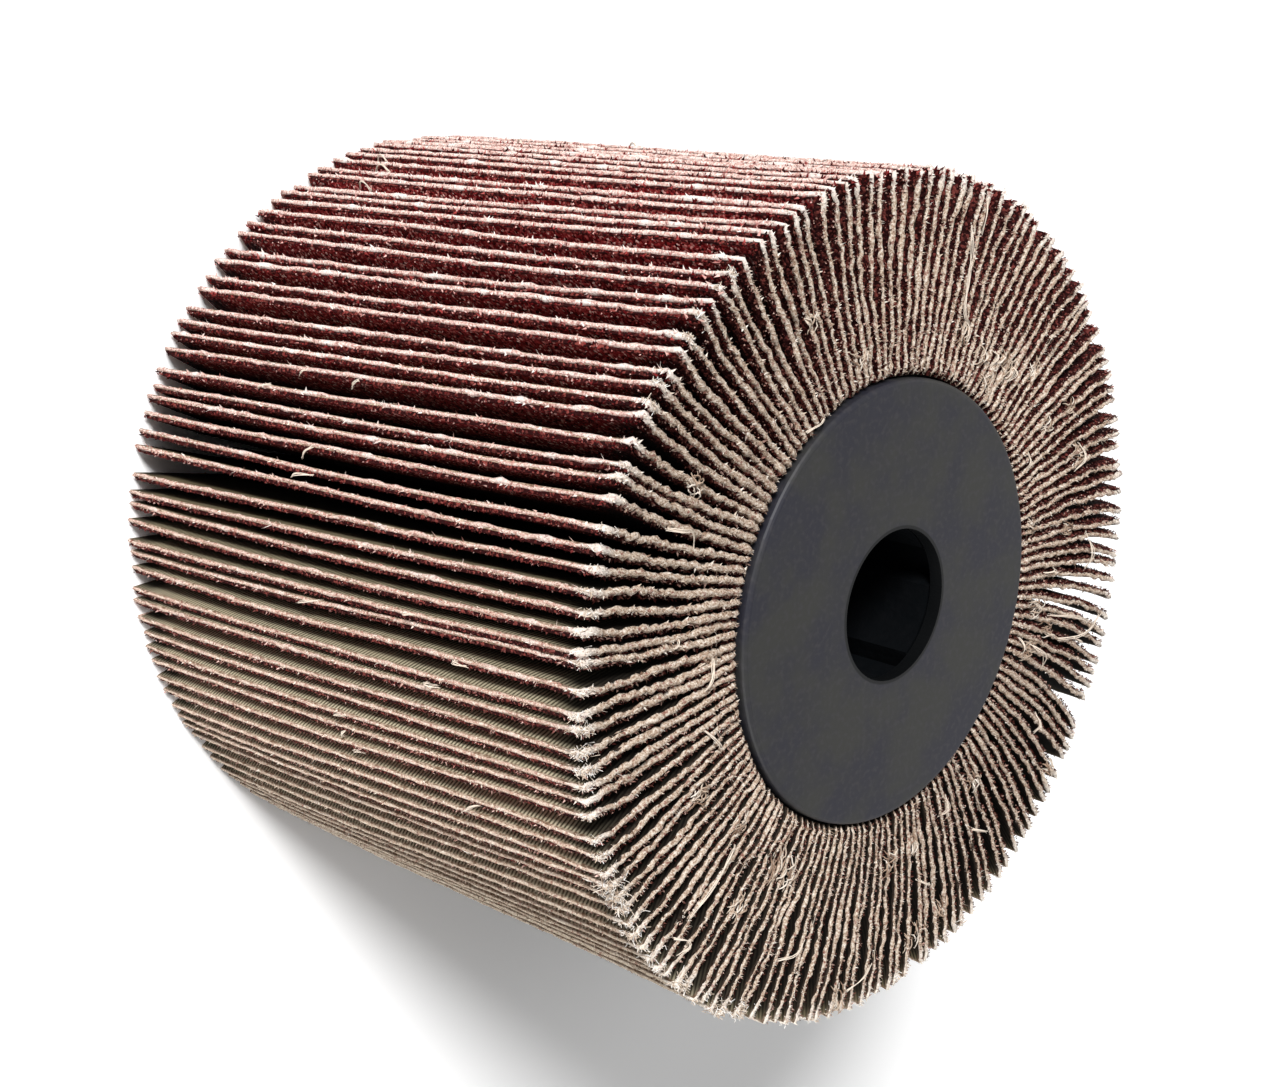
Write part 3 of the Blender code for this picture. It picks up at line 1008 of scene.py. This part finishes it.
def crumb_colors(tone, depth):
    """Cream cotton on the cloth side and dark red on the grain side, each crumb its own;
    pinker along the rim, where grain dust has rubbed in, and cleaner at the corner."""
    graph = tone.graph
    travel = attribute(graph, "travel")
    sunny = (attribute(graph, "turn") - SUNNY_SIDE).cos() * 0.5 + 0.5
    rim = (travel / FLAP_LENGTH).ramp(0.95, 1.02)
    corner = 1.0 - (travel - RIM_START).math("ABSOLUTE").ramp(0.3 * MM, 3.0 * MM)
    ramps = (COTTON_TONES, PINK_TONES, RUST_TONES, BROWN_TONES)
    cotton, pink, rust, brown = [graph.tint(tone, ramp) for ramp in ramps]
    soiled = graph.mix(0.45, cotton, rgba(236, 230, 212))
    dusty = sunny.ramp(0.1, 0.9)
    worn_rim = graph.mix(dusty, soiled, pink)
    # Painted shade: rims on the side away from the light are a little darker and greyer
    painted_shade_off_sun = 1.0 - sunny.ramp(0.75, 0.95)
    worn_rim = graph.mix(painted_shade_off_sun, worn_rim, rgba(238, 235, 229), "MULTIPLY")
    cotton = graph.mix(rim, cotton, worn_rim)
    cotton = graph.mix(corner * 0.6, cotton, rgba(250, 244, 236))
    cotton = graph.mix(attribute(graph, "lint") * 0.75, cotton, rgba(252, 247, 241))
    coated = graph.mix(rim * (dusty * 0.6 + 0.4), brown, rust)
    # Painted shade: grain crumbs darker on the side where the grain turns away from the light
    coated = graph.mix(shaded_side(graph) * 0.45, coated, rgba(16, 3, 4))
    coated = graph.mix(rim * (1.0 - dusty) * 0.5, coated, cotton)
    return graph.mix(depth.ramp(0.48, 0.6), cotton, coated)


def frayed_edge_material():
    """Cut cotton along the border of each flap, of mixed tones, with painted shade in the pits
    between the threads.
    """
    mat, graph, shader = principled("frayed_edge", 0.95, 0.05)
    where = object_place(graph)
    fine = graph.noise(where, 1.0 / (0.3 * MM), 4.0, 0.7)
    # Painted shade: the noise that sinks the bump also darkens the cotton there
    color = crumb_colors(fine.ramp(0.28, 0.72), graph.number(0.3))
    dust = cell_noise(where, 1.0 / (0.3 * MM)).axes()[0]
    color = graph.mix(dust.ramp(0.9, 0.96) * 0.6, color, rgba(130, 66, 60))
    feed(shader, "Base Color", color)
    feed(shader, "Normal", bump(fine, 0.2 * MM, 1.0))
    return mat


def crumb_material():
    """Crumbs on the cut edges, one tone each."""
    mat, graph, shader = principled("edge_crumbs", 0.95, 0.05)
    color = crumb_colors(attribute(graph, "tone"), attribute(graph, "depth"))
    feed(shader, "Base Color", color)
    return mat


def tuft_material():
    """Clean white cotton."""
    mat, graph, shader = principled("cotton_tufts", 0.9, 0.2)
    feed(shader, "Base Color", graph.tint(attribute(graph, "tone"), TUFT_TONES))
    return mat


def plate_material():
    """Satin dark lacquer with faint cool mottling and fine handling marks."""
    mat, graph, shader = principled("plate_lacquer", 0.5, 0.22)
    where = object_place(graph)
    mottle = graph.noise(where, 1.0 / (9.0 * MM), 3.0, 0.6)
    speck = graph.noise(where, 1.0 / (0.8 * MM))
    color = graph.mix(mottle.ramp(0.35, 0.65), rgba(35, 35, 43), rgba(46, 46, 44))
    color = graph.mix(speck.ramp(0.45, 0.75) * 0.6, color, rgba(54, 52, 55))
    # Painted shade: the plates are painted near-black inside their holes, where the bore is dark
    x, y, _ = where.axes()
    outside = (x * x + y * y).math("SQRT").ramp(HOLE_EDGE - 0.1 * MM, HOLE_EDGE + 0.1 * MM)
    color = graph.mix(outside, rgba(2, 3, 4), color)
    feed(shader, "Base Color", color)
    feed(shader, "Roughness", mottle * 0.15 + 0.42)
    feed(shader, "Normal", bump(speck, 0.03 * MM, 0.25))
    return mat


def core_material():
    """Dark cast resin, lumpy where the flaps stand in it."""
    mat, graph, shader = principled("core_resin", 0.8, 0.05)
    lumps = graph.noise(object_place(graph), 1.0 / (1.5 * MM), 3.0)
    feed(shader, "Base Color", graph.mix(lumps, rgba(2, 4, 6), rgba(9, 10, 12)))
    feed(shader, "Normal", bump(lumps, 0.3 * MM, 0.6))
    return mat


# Plain pieces

def turned_ring(name, profile, segments, material):
    """A closed ring whose section is the list of (radius, height) points."""
    bm = bmesh.new()
    rings = []
    for step in range(segments):
        angle = tau * step / segments
        rings.append([bm.verts.new((r * cos(angle), r * sin(angle), z)) for r, z in profile])
    for this, following in zip(rings, rings[1:] + rings[:1]):
        for k in range(len(profile)):
            after = (k + 1) % len(profile)
            bm.faces.new((this[k], following[k], following[after], this[after]))
    bmesh.ops.recalc_face_normals(bm, faces=bm.faces)
    mesh = bpy.data.meshes.new(name)
    bm.to_mesh(mesh)
    bm.free()
    mesh.shade_smooth()
    mesh.set_sharp_from_angle(angle=radians(35))
    mesh.materials.append(material)
    return add_object(name, mesh)


def make_core(material):
    """The cast resin that the flaps stand in."""
    profile = [(CORE_BORE, CORE_TOP), (CORE_RADIUS, CORE_TOP),
               (CORE_RADIUS, CORE_BOTTOM), (CORE_BORE, CORE_BOTTOM)]
    ring = turned_ring("resin_core", profile, FLAP_COUNT, material)
    settle(ring, "core_resin", "flap_pack")


# Stage

def direction(azimuth, elevation):
    """The unit vector towards an azimuth and an elevation, in radians."""
    flat = cos(elevation)
    return Vector((cos(azimuth) * flat, sin(azimuth) * flat, sin(elevation)))


def make_camera():
    data = bpy.data.cameras.new("camera")
    data.lens = CAMERA_LENS
    data.sensor_width = 36.0
    data.clip_start = 0.01
    data.clip_end = 50.0
    camera = add_object("camera", data)
    away = direction(CAMERA_AZIMUTH, CAMERA_ELEVATION)
    level = Vector((0.0, 0.0, 1.0)).cross(away).normalized()
    upright = away.cross(level)
    right = level * cos(CAMERA_ROLL) + upright * sin(CAMERA_ROLL)
    up = away.cross(right)
    turn = Matrix((right, up, away)).transposed().to_4x4()
    place = Vector((0.0, 0.0, FLAP_TOP)) + CAMERA_PLACE * WHEEL_RADIUS
    camera.matrix_world = Matrix.Translation(place) @ turn
    bpy.context.scene.camera = camera


def make_floor():
    """A plain white floor. The camera sees it a little brighter than the wheel does."""
    mat = bpy.data.materials.new("floor")
    mat.use_nodes = True
    graph = Graph(mat.node_tree)
    mat.node_tree.nodes.clear()
    seen = graph.node("ShaderNodeLightPath", {}, {}, "Is Camera Ray")
    color = graph.mix(seen, FLOOR_COLOR, FLOOR_SEEN)
    surface = graph.node("ShaderNodeBsdfDiffuse", {}, {"Color": color})
    graph.node("ShaderNodeOutputMaterial", {}, {"Surface": surface}, None)
    mesh = bpy.data.meshes.new("floor")
    half = FLOOR_HALF
    corners = [(-half, -half, 0.0), (half, -half, 0.0), (half, half, 0.0), (-half, half, 0.0)]
    mesh.from_pydata(corners, [], [(0, 1, 2, 3)])
    mesh.materials.append(mat)
    floor = add_object("floor", mesh)


def add_lamp(name, azimuth, elevation, strength, softness):
    """A distant soft lamp. At a strength of 1, white that faces it renders as white."""
    data = bpy.data.lights.new(name, "SUN")
    data.energy = strength * pi
    data.angle = radians(softness)
    lamp = add_object(name, data)
    towards = direction(radians(azimuth), radians(elevation))
    lamp.location = towards
    lamp.rotation_mode = "QUATERNION"
    lamp.rotation_quaternion = towards.to_track_quat("Z", "Y")


def make_lights():
    world = bpy.data.worlds.new("studio")
    world.use_nodes = True
    graph = Graph(world.node_tree)
    backdrop = world.node_tree.nodes["Background"]
    camera, glossy, through = [graph.node("ShaderNodeLightPath", {}, {}, f"Is {kind} Ray")
                               for kind in ("Camera", "Glossy", "Transmission")]
    inputs = {0: camera.least(glossy).least(through), 2: WORLD_LIGHT, 3: 1.0}
    strength = graph.node("ShaderNodeMix", {"data_type": "FLOAT"}, inputs)
    backdrop.inputs["Color"].default_value = (1.0, 1.0, 1.0, 1.0)
    graph.tree.links.new(strength.socket, backdrop.inputs["Strength"])
    bpy.context.scene.world = world
    for name, lamp in LAMPS.items():
        add_lamp(name, *lamp)


def main():
    bpy.context.scene.view_settings.view_transform = "Standard"
    make_camera()
    make_floor()
    make_lights()

    cloth = abrasive_cloth_material()
    frayed = frayed_edge_material()
    crumbs = crumb_material()
    cotton = tuft_material()
    lacquer = plate_material()
    resin = core_material()

    make_flaps(cloth)
    make_cut_edges(frayed)
    # Each has a stretch of the cut edges, an amount per flap, and a seed before the material
    make_crumbs("rim_crumbs", RIM_START, RIM_END, 325, 1.0, 11, crumbs)
    make_crumbs("front_crumbs", 0.3 * MM, RIM_START, 320, 0.9, 21, crumbs)
    make_crumbs("rear_crumbs", RIM_END, EDGE_PATH, 28, 1.0, 31, crumbs)
    make_crystals("rim_grain", RIM_START, RIM_END, 325, 2.8 * MM, 81, crumbs)
    make_crystals("front_grain", 0.5 * MM, RIM_START, 110, 1.4 * MM, 91, crumbs)
    make_fibres("rim_fibres", RIM_START, RIM_END, 130, 51, crumbs)
    make_fibres("front_fibres", 0.3 * MM, RIM_START, 76, 61, crumbs)
    make_tufts("cotton_tufts", worn_spots(), cotton)
    make_tufts("corner_lint", corner_spots(), cotton)
    make_matted_yarn(crumbs)
    make_threads(cotton)
    make_core(resin)

    for name in ("front_side_plate", "rear_side_plate"):
        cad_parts[name].material_slots[0].material = lacquer
    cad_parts["keyed_core_tube"].material_slots[0].material = resin


main()
